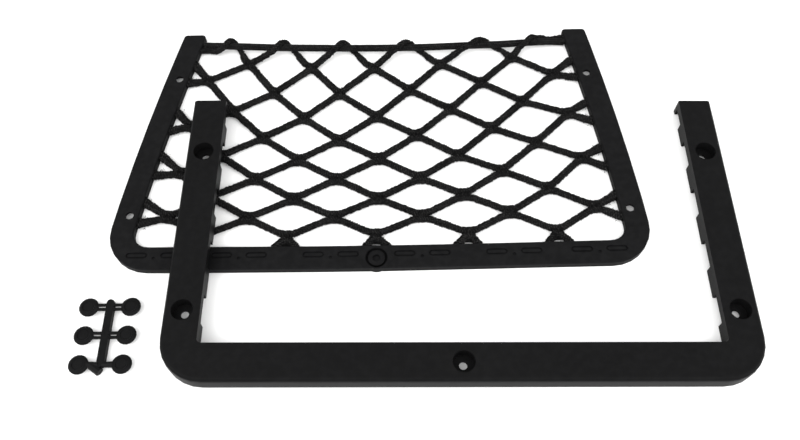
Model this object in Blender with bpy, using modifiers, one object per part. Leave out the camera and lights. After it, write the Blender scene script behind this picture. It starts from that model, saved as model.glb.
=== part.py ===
"""Framed cargo net: a U-shaped net frame with its elastic net, the cover frame that screws over
it and a sprue of six screw caps, laid out on a flat surface.  Metres, +Z up, underside at Z = 0."""

import math

import bmesh
import bpy
import numpy as np
from mathutils import Matrix, Vector

NAME = "framed_cargo_net"
GAP = 0.0003                      # what pieces that touch stay apart

# Net frame.  X runs along its bottom rail, Y up its arms, the origin is in the middle of the
# rail's outer edge.
FRAME_HEIGHT = 0.0060
FRAME_DEPTH = 0.2173
RAIL_OUTER = 0.0007
RAIL_WIDTH = 0.0181
ARM_WIDTH = 0.0172
FRAME_CORNER = 0.030
FRAME_INNER_CORNER = 0.012
ARM_END_CORNER = 0.0028
FRAME_EDGE = 0.0008
# The stretched net bends the frame: the arms lean in and bow, and the rail sags outward.  Their outer
# edges lean in a little less, so the arms are wider at their ends.
ARMS = {
    -1: {"root": 0.1997, "lean": math.radians(9.8), "flare": 0.0008},
    1: {"root": 0.1967, "lean": math.radians(7.65), "flare": 0.0022},
}
ARM_BOW = 0.0030
RAIL_BOW = 0.0015
RAIL_BOW_REACH = 0.160
BOW_STEPS = 6
BOW_DRAWN = 0.85                  # how much of the rail's reach is drawn as a bow
MIDDLE = -0.0028                  # the rail's own middle, drawn a little to the left

SCREW_HEIGHTS = (0.0446, 0.1705)  # up the arms
SCREW_INSET = 0.0106              # in from the arms' outer edges
SCREW_HOLE = 0.0030
# The underside is hollowed beside each hole, outward and up the arm.
RELIEF_RADIUS = 0.0043
RELIEF_TOP = 0.0040
RELIEF_OUT = 0.0012
RELIEF_UP = 0.0015
# Boss in the middle of the rail: a ring groove round a disc with a blind dimple.
BOSS_Y = 0.0074
BOSS_COLLAR = 0.0089
BOSS_GROOVE = 0.0079
BOSS_DISC = 0.0060
BOSS_DIMPLE = 0.0028
GROOVE_FLOOR = 0.0025
DISC_TOP = 0.0052
DIMPLE_FLOOR = 0.0032

MARK_CENTRES = (0.0325, 0.0978, 0.1584)   # either side of the rail's middle
MARK_SPREAD = 0.0124
MARK_LENGTH = 0.0156
MARK_WIDTH = 0.0048
MARK_Y = 0.0110
MARK_DEPTH = 0.0010
MARK_GROOVE = 0.0013              # each mark is a groove of this width round an island
DOT_Y = 0.0088
DOT_RADIUS = 0.0013
PROUD = 0.001                     # how far a cut runs out past a face

# Net: rows of knots from the rail up.  Even rows have five knots, odd rows six.
ROWS = 9
SHORT_ROW = 5
LONG_ROW = 6
STRAND = 0.0341                   # natural length of one side of a diamond
STRAND_GROWTH = 0.009             # each row's sides are this much longer than the last
NET_LEVEL = 0.0027
NET_HALF_THICKNESS = 0.0019
NET_EDGE = 0.0011                 # rounding of the strands' edges
STRAND_HALF = 0.0028
FOOT_HALF = 0.0029
LEG_HALF = 0.0038                 # the legs at the arms are thicker than where they leave their knot
WIDE_CORNER = math.radians(80)    # corners of a hole wider than this are drawn round
WIDE_CUT = 0.0062                 # how far from the corner the rounding of wide and sharp ones starts
SHARP_CUT = 0.0016
CORNER_SHARE = 0.38               # and the most of a strand that it takes up
STRAIGHT = 0.05                   # strands in line to within this sine run on without a corner

FOOT_PITCH = 0.0656
FOOT_SPREAD = 0.0082
FOOT_TUG = 0.00163
# Side loops: height of the loop's middle on each arm, and how hard the arm holds its knot.
LOOPS = (
    {"row": 1, "left": 0.0483, "right": 0.0483, "tug": 0.00258},
    {"row": 3, "left": 0.0899, "right": 0.0910, "tug": 0.00243},
    {"row": 5, "left": 0.1308, "right": 0.1339, "tug": 0.00207},
    {"row": 7, "left": 0.1775, "right": 0.1772, "tug": 0.00094},
)
LOOP_SPREAD = 0.0090
POCKET_DEPTH = 0.0028
MOUTH_SHY = 0.0010                # the legs turn straight into their pockets just before the mouth
# The springs that settle the knots start from this even lattice.
START_PITCH = 0.063
START_FIRST = 0.027
START_RISE = 0.021
SETTLE_ROUNDS = 6000
SETTLE_KEEP = 0.94
SETTLE_PULL = 0.12
# Knots that the uneven net leaves to one side of their even place.
STRAYS = (
    {"row": 0, "knot": 0, "right": 0.0005, "up": -0.0013},
    {"row": 0, "knot": 1, "right": -0.0012, "up": -0.0011},
    {"row": 0, "knot": 2, "right": -0.0018, "up": 0.0},
    {"row": 0, "knot": 3, "right": 0.0010, "up": -0.0003},
    {"row": 0, "knot": 4, "right": 0.0011, "up": -0.0010},
    {"row": 1, "knot": 0, "right": 0.0048, "up": -0.0037},
    {"row": 1, "knot": 1, "right": 0.0013, "up": -0.0020},
    {"row": 1, "knot": 4, "right": 0.0010, "up": -0.0003},
    {"row": 1, "knot": 5, "right": 0.0013, "up": -0.0003},
    {"row": 2, "knot": 0, "right": 0.0026, "up": -0.0030},
    {"row": 2, "knot": 1, "right": 0.0011, "up": -0.0012},
    {"row": 2, "knot": 4, "right": 0.0010, "up": -0.0004},
    {"row": 3, "knot": 0, "right": 0.0063, "up": -0.0049},
    {"row": 3, "knot": 1, "right": 0.0018, "up": -0.0026},
    {"row": 3, "knot": 5, "right": 0.0, "up": 0.0026},
    {"row": 4, "knot": 0, "right": 0.0018, "up": -0.0044},
    {"row": 4, "knot": 1, "right": 0.0005, "up": -0.0013},
    {"row": 4, "knot": 3, "right": 0.0, "up": -0.0012},
    {"row": 4, "knot": 4, "right": 0.0, "up": 0.0013},
    {"row": 5, "knot": 0, "right": 0.0006, "up": -0.0015},
    {"row": 5, "knot": 1, "right": -0.0003, "up": -0.0033},
    {"row": 5, "knot": 2, "right": -0.0003, "up": -0.0008},
    {"row": 5, "knot": 5, "right": 0.0011, "up": 0.0028},
    {"row": 6, "knot": 0, "right": 0.0006, "up": -0.0024},
    {"row": 6, "knot": 1, "right": -0.0010, "up": -0.0025},
    {"row": 7, "knot": 1, "right": -0.0006, "up": -0.0024},
    {"row": 7, "knot": 2, "right": -0.0029, "up": -0.0012},
    {"row": 7, "knot": 3, "right": 0.0004, "up": 0.0013},
    {"row": 7, "knot": 5, "right": 0.0007, "up": 0.0012},
    {"row": 8, "knot": 2, "right": -0.0013, "up": -0.0010},
    {"row": 8, "knot": 3, "right": 0.0011, "up": 0.0023},
)

# Bights of the net round the top cord: where the strands from the knots below pull ("x" and "hold")
# and their natural lengths, from the left and the right (none at the two ends), then the place of the
# turn's far point along the cord, and how wide the turn is.
BIGHTS = (
    {"x": -0.1234, "hold": 0.2044, "left": None, "right": 0.0229, "turn": -0.1208, "wide": 0.76},
    {"x": -0.0800, "hold": 0.2028, "left": 0.0305, "right": 0.0305, "turn": -0.0768, "wide": 0.97},
    {"x": -0.0301, "hold": 0.2018, "left": 0.0305, "right": 0.0305, "turn": -0.0277, "wide": 1.03},
    {"x": 0.0220, "hold": 0.2017, "left": 0.0305, "right": 0.0305, "turn": 0.0249, "wide": 1.31},
    {"x": 0.0825, "hold": 0.2028, "left": 0.0400, "right": 0.0271, "turn": 0.0860, "wide": 1.68},
    {"x": 0.1281, "hold": 0.2046, "left": 0.0221, "right": None, "turn": 0.1279, "wide": 1.14},
)
# One bight over and under the cord, from left to right, relative to the cord.
BIGHT_TURN = (
    {"along": -0.0120, "across": -0.0054, "rise": 0.0010},
    {"along": -0.0092, "across": -0.0040, "rise": 0.0029},
    {"along": -0.0064, "across": -0.0009, "rise": 0.0049},
    {"along": -0.0034, "across": 0.0030, "rise": 0.0039},
    {"along": 0.0, "across": 0.0049, "rise": 0.0002},
    {"along": 0.0030, "across": 0.0034, "rise": -0.0036},
    {"along": 0.0058, "across": 0.0, "rise": -0.0048},
    {"along": 0.0084, "across": -0.0036, "rise": -0.0042},
)
# The net's two ends run on from the outer bights beside the cord, into the arms.
LEFT_END = (
    {"along": -0.0320, "across": -0.0055, "rise": -0.0037},
    {"along": -0.0272, "across": -0.0055, "rise": -0.0037},
    {"along": -0.0210, "across": -0.0051, "rise": -0.0030},
    {"along": -0.0134, "across": -0.0059, "rise": -0.0014},
)
RIGHT_END = (
    {"along": 0.0060, "across": 0.0048, "rise": -0.0014},
    {"along": 0.0100, "across": 0.0044, "rise": -0.0036},
    {"along": 0.0160, "across": 0.0048, "rise": -0.0040},
    {"along": 0.0222, "across": 0.0054, "rise": -0.0037},
    {"along": 0.0270, "across": 0.0055, "rise": -0.0037},
)
# Coming down from a bight, a strand sags to the left of its straight way to the knot: where, as a share
# of that way up from the knot, and how far, as a share of its length.
SAG_PLACE = 0.42
SAG_SHARE = 0.08
BIGHT_RADIUS = 0.0024
BIGHT_THIN = 0.0016               # where a strand is squeezed against the cord
BIGHT_SPACING = 0.0034
SQUEEZE_REACH = 0.0042            # it grows full again this far below the cord, at this rate
SQUEEZE_RATE = 0.30

# Top cord.  It dips between the bights' pull, and comes down at its ends into a socket in each arm.
CORD_RADIUS = 0.0029
CORD_END_RADIUS = 0.0021
CORD_LEVEL = 0.0067
CORD_END_LEVEL = 0.0030
CORD_LINE = (
    (-0.1390, 0.2060, 0.0043), (-0.1310, 0.2047, 0.0056), (-0.1234, 0.2034, CORD_LEVEL),
    (-0.1078, 0.2025, CORD_LEVEL), (-0.0820, 0.2010, CORD_LEVEL), (-0.0580, 0.2001, CORD_LEVEL),
    (-0.0300, 0.1993, CORD_LEVEL), (0.0, 0.1988, CORD_LEVEL), (0.0250, 0.1988, CORD_LEVEL),
    (0.0450, 0.1991, CORD_LEVEL), (0.0650, 0.1998, CORD_LEVEL), (0.0950, 0.2006, CORD_LEVEL),
    (0.1150, 0.2017, CORD_LEVEL), (0.1280, 0.2025, CORD_LEVEL), (0.1400, 0.2044, 0.0049),
)
CORD_MOUTHS = {-1: 0.2075, 1: 0.2053}     # how far up the arms it enters them
CORD_NECK = 0.0018                # it narrows this far before the mouth
CORD_SPACING = 0.0120
CORD_SOCKET = 0.0070
SOCKET_ROOM = 0.00045
SOCKET_LEAD = 0.0040              # the socket's cut starts this far inside the frame's mouth

# Cover frame.  Its own X, Y origin is midway between its two lower screws.
COVER_AT = (0.0547, -0.0373)
COVER_TURN = math.radians(-0.48)
COVER_HALF_WIDTH = 0.2000
COVER_INNER_HALF = 0.1751
COVER_FRONT = -0.0497
COVER_RAIL_INNER = -0.0233
COVER_TIPS = 0.1740
COVER_HEIGHT = 0.0127
COVER_TOP = 0.0024
COVER_WALL = 0.0022
COVER_CORNER = 0.030
COVER_INNER_CORNER = 0.003
COVER_TIP_CORNER = 0.0004
COVER_ROUND = 0.0033
COVER_SCREWS = (
    {"x": -0.1874, "y": 0.0}, {"x": 0.1874, "y": 0.0},
    {"x": -0.1874, "y": 0.1273}, {"x": 0.1874, "y": 0.1273},
    {"x": 0.0, "y": -0.0364},
)
RECESS_RADIUS = 0.0075
RECESS_DEPTH = 0.0090
RECESS_HOLE = 0.0028
RECESS_WALL = 0.0016
RECESS_FLOOR = 0.0018
NOTCH_HEIGHT = 0.0065
# Notches in the cover's inner walls, over the net's loops and the top cord.
ARM_NOTCHES = (
    {"y": 0.0029, "width": 0.0210}, {"y": 0.0447, "width": 0.0210},
    {"y": 0.0875, "width": 0.0210}, {"y": 0.1294, "width": 0.0210},
    {"y": 0.1630, "width": 0.0144},
)
RAIL_NOTCH_WIDTH = 0.0210

# Sprue of screw caps
SPRUE_AT = (-0.1866, -0.0475)
CAP_COLUMN = 0.0145
CAP_PITCH = 0.0206
CAP_RADIUS = 0.0068
CAP_TOP = 0.0060
CAP_UNDER = 0.0040
PLUG_RADIUS = 0.0043
RUNNER_HALF = 0.0026
RUNNER_LOW = 0.0010
RUNNER_HIGH = 0.0052
RUNNER_FAR = 0.0264
RUNNER_NEAR = -0.0225
STRUT_OFFSET = 0.0016
STRUT_HALF = 0.0009
STRUT_LOW = 0.0034
STRUT_HIGH = 0.0050
GATE_RADIUS = 0.0024
GATE_TAPER = 0.8                  # a gate is thinner at the runner
STUB_RADIUS = 0.0029
STUB_START = (-0.0066, -0.0206, 0.0036)
STUB_END = (0.0002, -0.0256, 0.0030)
CAP_EDGE = 0.0012                 # the caps' edges curve down over this width
CAP_CROWN = 0.0002
DISH_RADIUS = 0.0042              # and their tops are dished
DISH_FLOOR = 0.0038
DISH_DEPTH = 0.0006

ROUND_STEPS = 24
COLLAR_STEPS = 32
CAP_STEPS = 18
SCREW_STEPS = 16
DOT_STEPS = 8
ARC_STEP = math.radians(13)

parts = None
cutters = None


# ------------------------------------------------------------------ scene and materials

def start_scene():
    """Empty the scene and make one collection for the part and one for its cutters."""
    global parts, cutters
    for thing in list(bpy.data.objects):
        bpy.data.objects.remove(thing, do_unlink=True)
    parts = bpy.data.collections.new(NAME)
    cutters = bpy.data.collections.new("cutters")
    for group in (parts, cutters):
        bpy.context.scene.collection.children.link(group)


def material(name, colour, roughness):
    """A plain dielectric finish."""
    made = bpy.data.materials.new(name)
    made.use_nodes = True
    shader = made.node_tree.nodes["Principled BSDF"]
    shader.inputs["Base Color"].default_value = (*colour, 1.0)
    shader.inputs["Roughness"].default_value = roughness
    shader.inputs["Metallic"].default_value = 0.0
    return made


def hide_as_cutter(thing):
    """Keep a guide or cutter out of the part."""
    thing.hide_render = True
    thing.display_type = "WIRE"
    return thing


def new_object(name, data, group):
    thing = bpy.data.objects.new(name, data)
    group.objects.link(thing)
    return thing


def as_mesh(thing, name, group):
    """Turn a curve or a modified object into a welded mesh object and drop the original."""
    evaluated = thing.evaluated_get(bpy.context.evaluated_depsgraph_get())
    mesh = bpy.data.meshes.new_from_object(evaluated)
    mesh.name = name
    welded = bmesh.new()
    welded.from_mesh(mesh)
    bmesh.ops.remove_doubles(welded, verts=welded.verts, dist=0.00001)
    bmesh.ops.recalc_face_normals(welded, faces=welded.faces)
    welded.to_mesh(mesh)
    welded.free()
    placed = thing.matrix_world.copy()
    bpy.data.objects.remove(thing, do_unlink=True)
    made = new_object(name, mesh, group)
    made.matrix_world = placed
    return made


def put_on_seat(thing, placed):
    """Hang a part and its cutters on an empty, and put that where the part lies."""
    seat = bpy.data.objects.new(f"{thing.name}_seat", None)
    parts.objects.link(seat)
    thing.parent = seat
    for step in thing.modifiers:
        for piece in step.collection.objects:
            piece.parent = seat
    seat.matrix_world = placed
    return seat


# ------------------------------------------------------------------ shapes

def arc_points(before, corner, after, radius):
    """Points of the arc that rounds a corner between two straight runs."""
    first = (before - corner).normalized()
    second = (after - corner).normalized()
    opening = first.angle(second)
    turn = math.pi - opening
    if radius <= 0 or turn < 0.02:
        return [corner]
    reach = radius / math.tan(opening / 2)
    centre = corner + (first + second).normalized() * radius / math.sin(opening / 2)
    start = corner + first * reach - centre
    steps = max(1, round(turn / ARC_STEP))
    sense = 1 if first.x * second.y - first.y * second.x < 0 else -1
    return [centre + Matrix.Rotation(sense * turn * k / steps, 2) @ start for k in range(steps + 1)]


def rounded(corners):
    """A closed outline from (x, y, radius) corners."""
    places = [Vector(corner[:2]) for corner in corners]
    outline = []
    for k, corner in enumerate(corners):
        after = places[(k + 1) % len(places)]
        outline += arc_points(places[k - 1], places[k], after, corner[2])
    return outline


def slab(name, outlines, low, high, group, edge=0.0):
    """A flat outline, with any holes, filled and raised from low to high; edge rounds its rims
    outward."""
    curve = bpy.data.curves.new(name, "CURVE")
    curve.dimensions = "2D"
    curve.fill_mode = "BOTH"
    curve.extrude = (high - low) / 2 - edge
    curve.bevel_depth = edge
    curve.bevel_resolution = 0
    for outline in outlines:
        spline = curve.splines.new("POLY")
        spline.points.add(len(outline) - 1)
        for point, place in zip(spline.points, outline):
            point.co = (place[0], place[1], 0.0, 1.0)
        spline.use_cyclic_u = True
    drawn = new_object(name, curve, group)
    drawn.location.z = (low + high) / 2
    bpy.context.view_layer.update()
    return as_mesh(drawn, name, group)


def box(name, centre, size):
    """A box cutter."""
    bpy.ops.mesh.primitive_cube_add(size=1.0)
    made = bpy.context.object
    made.name = name
    made.data.transform(Matrix.Translation(centre) @ Matrix.Diagonal((*size, 1.0)))
    return to_cutters(made)


def cylinder(name, x, y, radius, low, high, steps=ROUND_STEPS):
    """An upright cylinder, as a cutter or to be fused."""
    bpy.ops.mesh.primitive_cylinder_add(vertices=steps, radius=radius, depth=high - low)
    made = bpy.context.object
    made.name = name
    made.data.transform(Matrix.Translation((x, y, (low + high) / 2)))
    return to_cutters(made)


def to_cutters(thing):
    for group in list(thing.users_collection):
        group.objects.unlink(thing)
    cutters.objects.link(thing)
    return hide_as_cutter(thing)


def turned(name, profile, group, steps=ROUND_STEPS):
    """A turned piece about Z from (radius, height) pairs, top to bottom."""
    mesh = bpy.data.meshes.new(name)
    edges = [(k, k + 1) for k in range(len(profile) - 1)]
    mesh.from_pydata([(radius, 0.0, height) for radius, height in profile], edges, [])
    made = new_object(name, mesh, group)
    screw = made.modifiers.new("turn", "SCREW")
    screw.steps = steps
    screw.render_steps = steps
    screw.use_merge_vertices = True
    screw.merge_threshold = 0.00001
    bpy.context.view_layer.update()
    return as_mesh(made, name, group)


def tube(name, places, radii, group):
    """A round cord along points, with a radius at each."""
    curve = bpy.data.curves.new(name, "CURVE")
    curve.dimensions = "3D"
    curve.bevel_depth = 1.0
    curve.bevel_resolution = 2
    curve.use_fill_caps = True
    spline = curve.splines.new("POLY")
    spline.points.add(len(places) - 1)
    for point, place, radius in zip(spline.points, places, radii):
        point.co = (*place, 1.0)
        point.radius = radius
    drawn = new_object(name, curve, group)
    bpy.context.view_layer.update()
    return as_mesh(drawn, name, group)


def smooth_route(places, spacing):
    """Points at an even spacing on a smooth curve through the given ones."""
    ends = [places[0] * 2 - places[1], *places, places[-1] * 2 - places[-2]]
    route = []
    for a, b, c, d in zip(ends, ends[1:], ends[2:], ends[3:]):
        steps = max(1, round((c - b).length / spacing))
        for k in range(steps):
            t = k / steps
            route.append(((b * 2) + (c - a) * t + (a * 2 - b * 5 + c * 4 - d) * t * t
                          + (b * 3 - a - c * 3 + d) * t ** 3) / 2)
    return [*route, places[-1]]


def boolean(thing, pieces, operation):
    """Cut or fuse a group of pieces with a part in one step."""
    group = bpy.data.collections.new(f"{thing.name}_{operation.lower()}")
    cutters.children.link(group)
    for piece in pieces:
        cutters.objects.unlink(piece)
        group.objects.link(piece)
        hide_as_cutter(piece)
    step = thing.modifiers.new(operation.lower(), "BOOLEAN")
    step.operation = operation
    step.operand_type = "COLLECTION"
    step.collection = group
    step.solver = "EXACT"
    step.show_viewport = False


def cut_all():
    """Let the cuts and fusions take effect, once everything is in place."""
    for thing in parts.objects:
        for step in thing.modifiers:
            step.show_viewport = True


def round_top(thing, is_rim, width, steps):
    """Round the top edges of a slab that is_rim picks."""
    shaped = bmesh.new()
    shaped.from_mesh(thing.data)
    top = max(corner.co.z for corner in shaped.verts)
    rims = [
        edge for edge in shaped.edges
        if all(abs(corner.co.z - top) < 0.00001 for corner in edge.verts)
        and any(abs(face.normal.z) < 0.5 for face in edge.link_faces)
        and is_rim(edge.verts[0].co, edge.verts[1].co)
    ]
    bmesh.ops.bevel(shaped, geom=rims, offset=width, segments=steps, profile=0.5, affect="EDGES")
    shaped.to_mesh(thing.data)
    shaped.free()


def finish(thing, look):
    """Give a part its material and smooth its round faces."""
    thing.data.materials.clear()
    thing.data.materials.append(look)
    thing.data.shade_smooth()
    thing.data.set_sharp_from_angle(angle=math.radians(35))


# ------------------------------------------------------------------ net frame

def arm_x(side, y, inset=0.0):
    """X of a line up an arm, a distance in from its outer edge."""
    arm = ARMS[side]
    bow = ARM_BOW * 4 * (y / FRAME_DEPTH) * (1 - y / FRAME_DEPTH)
    flare = arm["flare"] * (y / FRAME_DEPTH) * (1 - inset / ARM_WIDTH)
    return side * (arm["root"] - inset - y * math.tan(arm["lean"]) + bow + flare)


def rail_y(x, across=0.0):
    """Y of a line along the rail, a distance across it from its outer edge."""
    return RAIL_OUTER + across - RAIL_BOW * max(0.0, 1 - (x / RAIL_BOW_REACH) ** 2)


def arm_line(side, inset, foot, radius):
    """One long edge of an arm, from the corner at its foot to its end."""
    line = [(arm_x(side, foot, inset), foot, radius)]
    for k in range(1, BOW_STEPS):
        y = foot + (FRAME_DEPTH - foot) * (k + 0.5) / BOW_STEPS
        line.append((arm_x(side, y, inset), y, 0.0))
    return [*line, (arm_x(side, FRAME_DEPTH, inset), FRAME_DEPTH, ARM_END_CORNER)]


def rail_line(across):
    """One long edge of the rail between its corners, from left to right."""
    places = [RAIL_BOW_REACH * BOW_DRAWN * (2 * k / BOW_STEPS - 1) for k in range(BOW_STEPS + 1)]
    return [(x, rail_y(x, across), 0.0) for x in places]


def frame_outline():
    """The bent U of the net frame, anticlockwise from the left arm's end."""
    outer = [arm_line(side, 0.0, RAIL_OUTER, FRAME_CORNER) for side in (-1, 1)]
    inner = [arm_line(side, ARM_WIDTH, RAIL_OUTER + RAIL_WIDTH, FRAME_INNER_CORNER) for side in (-1, 1)]
    return rounded([*reversed(outer[0]), *rail_line(0.0), *outer[1],
                    *reversed(inner[1]), *reversed(rail_line(RAIL_WIDTH)), *inner[0]])


def stadium(x, y, length, width):
    """A slot outline with round ends."""
    reach = (length - width) / 2
    outline = []
    for side in (1, -1):
        for k in range(5):
            angle = math.pi * (k / 4 - 0.5)
            outline.append((x + side * (reach + math.cos(angle) * width / 2),
                            y + side * math.sin(angle) * width / 2))
    return outline


def pocket(name, mouth, inward, width):
    """A pocket in the rail's inner side for one leg of the net, cut from its mouth inward."""
    height = 2 * (NET_HALF_THICKNESS + GAP)
    reach = POCKET_DEPTH * 2
    made = box(name, (0, 0, 0), (reach, width, height))
    angle = math.atan2(inward.y, inward.x)
    made.data.transform(Matrix.Translation((*mouth, NET_LEVEL)) @ Matrix.Rotation(angle, 4, "Z"))
    return made


def leg_ends():
    """Every leg that the net sends into the frame: knot, place on the inner edge, and the way
    into the frame."""
    legs = []
    for k in range(SHORT_ROW):
        for side in (-1, 1):
            x = MIDDLE + (k - (SHORT_ROW - 1) / 2) * FOOT_PITCH + side * FOOT_SPREAD
            legs.append({"knot": (0, k), "place": Vector((x, rail_y(x, RAIL_WIDTH))), "in": Vector((0, -1)),
                         "tug": FOOT_TUG, "half": FOOT_HALF})
    for loop in LOOPS:
        for side, knot in ((-1, 0), (1, LONG_ROW - 1)):
            lean = ARMS[side]["lean"]
            for way in (-1, 1):
                y = loop["left" if side < 0 else "right"] + way * LOOP_SPREAD
                legs.append({"knot": (loop["row"], knot),
                             "place": Vector((arm_x(side, y, ARM_WIDTH), y)),
                             "in": Vector((side * math.cos(lean), math.sin(lean))),
                             "tug": loop["tug"], "half": LEG_HALF})
    return legs


def cord_ends():
    """Where the top cord enters the two arms."""
    return {
        side: Vector((arm_x(side, y, ARM_WIDTH), y, CORD_END_LEVEL)) for side, y in CORD_MOUTHS.items()
    }


def socket(name, mouth, radius):
    """A round socket for a cord's end, cut into an arm from its inner side."""
    side = math.copysign(1, mouth.x)
    start = mouth - Vector((side * SOCKET_LEAD, 0, 0))
    end = mouth + Vector((side * CORD_SOCKET, 0, 0))
    return tube(name, [start, end], [radius + SOCKET_ROOM] * 2, cutters)


def net_frame(look):
    """The back frame: screw seats, centre boss, oval marks, and pockets for net and cord."""
    frame = slab("net_frame", [frame_outline()], 0.0, FRAME_HEIGHT, parts)
    round_top(frame, lambda a, b: True, FRAME_EDGE, 1)
    collar = cylinder("boss_collar", MIDDLE, BOSS_Y, BOSS_COLLAR, 0.0, FRAME_HEIGHT, COLLAR_STEPS)
    boolean(frame, [collar], "UNION")

    cuts = []
    over = FRAME_HEIGHT + PROUD
    boss_profile = ((0.0, over), (BOSS_GROOVE, over), (BOSS_GROOVE, GROOVE_FLOOR),
                    (BOSS_DISC, GROOVE_FLOOR), (BOSS_DISC, DISC_TOP), (BOSS_DIMPLE, DISC_TOP),
                    (BOSS_DIMPLE, DIMPLE_FLOOR), (0.0, DIMPLE_FLOOR))
    boss_cut = turned("boss_cut", boss_profile, cutters)
    boss_cut.location = (MIDDLE, BOSS_Y, 0.0)
    cuts.append(boss_cut)
    for side in (-1, 1):
        for k, y in enumerate(SCREW_HEIGHTS):
            name = f"screw_{side}_{k}"
            x = arm_x(side, y, SCREW_INSET)
            cuts.append(cylinder(name, x, y, SCREW_HOLE, -PROUD, over, SCREW_STEPS))
            x = arm_x(side, y, SCREW_INSET - RELIEF_OUT)
            cuts.append(cylinder(f"{name}_relief", x, y + RELIEF_UP, RELIEF_RADIUS, -PROUD, RELIEF_TOP))
    for side in (-1, 1):
        for k, centre in enumerate(MARK_CENTRES):
            x = MIDDLE + side * centre
            name = f"mark_{side}_{k}"
            low = FRAME_HEIGHT - MARK_DEPTH
            for way in (-1, 1):
                mark_x = x + way * MARK_SPREAD
                mark_y = rail_y(mark_x, MARK_Y)
                mark = stadium(mark_x, mark_y, MARK_LENGTH, MARK_WIDTH)
                island = stadium(mark_x, mark_y, MARK_LENGTH - 2 * MARK_GROOVE, MARK_WIDTH - 2 * MARK_GROOVE)
                cuts.append(slab(f"{name}_{way}", [mark, island], low, over, cutters))
            cuts.append(cylinder(f"{name}_dot", x, rail_y(x, DOT_Y), DOT_RADIUS, low, over, DOT_STEPS))
    for k, leg in enumerate(leg_ends()):
        width = 2 * (leg["half"] + 2 * GAP)
        cuts.append(pocket(f"pocket_{k}", leg["place"], leg["in"], width))
    for side, end in cord_ends().items():
        cuts.append(socket(f"cord_socket_{side}", end, CORD_END_RADIUS))
        end = net_end(side)
        cuts.append(socket(f"net_socket_{side}", end, bight_radius(end)))
    boolean(frame, cuts, "DIFFERENCE")
    finish(frame, look)
    return frame


# ------------------------------------------------------------------ net

def row_size(row):
    return LONG_ROW if row % 2 else SHORT_ROW


def cord_y(x):
    """The top cord's own line across the frame's mouth, slack in the middle."""
    ends = cord_ends()
    line = [tuple(ends[-1]), *CORD_LINE, tuple(ends[1])]
    return float(np.interp(x, [place[0] for place in line], [place[1] for place in line]))


def settle_knots():
    """Where each knot comes to rest between its strands, its legs and the top cord."""
    knots = [(row, k) for row in range(ROWS) for k in range(row_size(row))]
    number = {knot: n for n, knot in enumerate(knots)}
    places = np.array([
        ((k - (row_size(row) - 1) / 2) * START_PITCH, START_FIRST + START_RISE * row) for row, k in knots
    ])

    pairs, lengths = [], []
    for row in range(ROWS - 1):
        side = STRAND * (1 + STRAND_GROWTH * (row - (ROWS - 2) / 2))
        for k in range(row_size(row)):
            for upper in ((k, k + 1) if row % 2 == 0 else (k - 1, k)):
                if (row + 1, upper) in number:
                    pairs.append((number[row, k], number[row + 1, upper]))
                    lengths.append(side)
    pairs, lengths = np.array(pairs), np.array(lengths)

    hung = []
    for k, bight in enumerate(BIGHTS):
        for upper, length in ((k - 1, bight["left"]), (k, bight["right"])):
            if length is not None:
                hung.append((number[ROWS - 1, upper], bight["x"], bight["hold"], length))
    hung_knots = np.array([row[0] for row in hung])
    hung_places = np.array([row[1:3] for row in hung])
    hung_lengths = np.array([row[3] for row in hung])

    legs = leg_ends()
    leg_knots = np.array([number[leg["knot"]] for leg in legs])
    leg_places = np.array([tuple(leg["place"]) for leg in legs])
    leg_tugs = np.array([leg["tug"] for leg in legs])

    speed = np.zeros_like(places)
    for _ in range(SETTLE_ROUNDS):
        pull = np.zeros_like(places)
        span = places[pairs[:, 1]] - places[pairs[:, 0]]
        size = np.linalg.norm(span, axis=1)
        force = span * ((size - lengths) / size)[:, None]
        np.add.at(pull, pairs[:, 0], force)
        np.add.at(pull, pairs[:, 1], -force)
        span = hung_places - places[hung_knots]
        size = np.linalg.norm(span, axis=1)
        np.add.at(pull, hung_knots, span * ((size - hung_lengths) / size)[:, None])
        span = leg_places - places[leg_knots]
        size = np.linalg.norm(span, axis=1)
        np.add.at(pull, leg_knots, span * (leg_tugs / size)[:, None])
        speed = SETTLE_KEEP * speed + SETTLE_PULL * pull
        places = places + speed
    for stray in STRAYS:
        places[number[stray["row"], stray["knot"]]] += (stray["right"], stray["up"])
    return {knot: Vector(places[n]) for knot, n in number.items()}


def strand_graph(knots):
    """The net as points joined by strands: knots, leg ends, and each strand's half width at both ends."""
    points = dict(knots)
    strands = {}
    for row in range(ROWS - 1):
        for k in range(row_size(row)):
            for upper in ((k, k + 1) if row % 2 == 0 else (k - 1, k)):
                if (row + 1, upper) in points:
                    strands[(row, k), (row + 1, upper)] = (STRAND_HALF, STRAND_HALF)
    for n, leg in enumerate(leg_ends()):
        tip = ("leg", n)
        points[tip] = leg["place"] + leg["in"] * (POCKET_DEPTH - GAP)
        mouth = ("mouth", n)
        points[mouth] = leg["place"] - leg["in"] * MOUTH_SHY
        strands[leg["knot"], mouth] = (STRAND_HALF, leg["half"])
        strands[mouth, tip] = (leg["half"], leg["half"])
    return points, strands


def band_outlines(points, strands, shrink):
    """Outlines of the web that strands of given half widths make: its outside and every hole."""
    neighbours = {}
    half = {}
    for ends, widths in strands.items():
        for start, end, width in (*ends, widths[0]), (*reversed(ends), widths[1]):
            neighbours.setdefault(start, []).append(end)
            half[start, end] = width

    def heading(start, end):
        way = points[end] - points[start]
        return math.atan2(way.y, way.x)

    for start, ends in neighbours.items():
        ends.sort(key=lambda end: heading(start, end))
    waiting = set(half)
    outlines = []
    while waiting:
        first = min(waiting, key=str)
        step = first
        outline = []
        while True:
            waiting.discard(step)
            start, turn = step
            ring = neighbours[turn]
            end = ring[ring.index(start) - 1]
            outline += web_corner(points, start, turn, end, half, shrink)
            step = (turn, end)
            if step == first:
                break
        outlines.append(outline)
    return outlines


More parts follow.
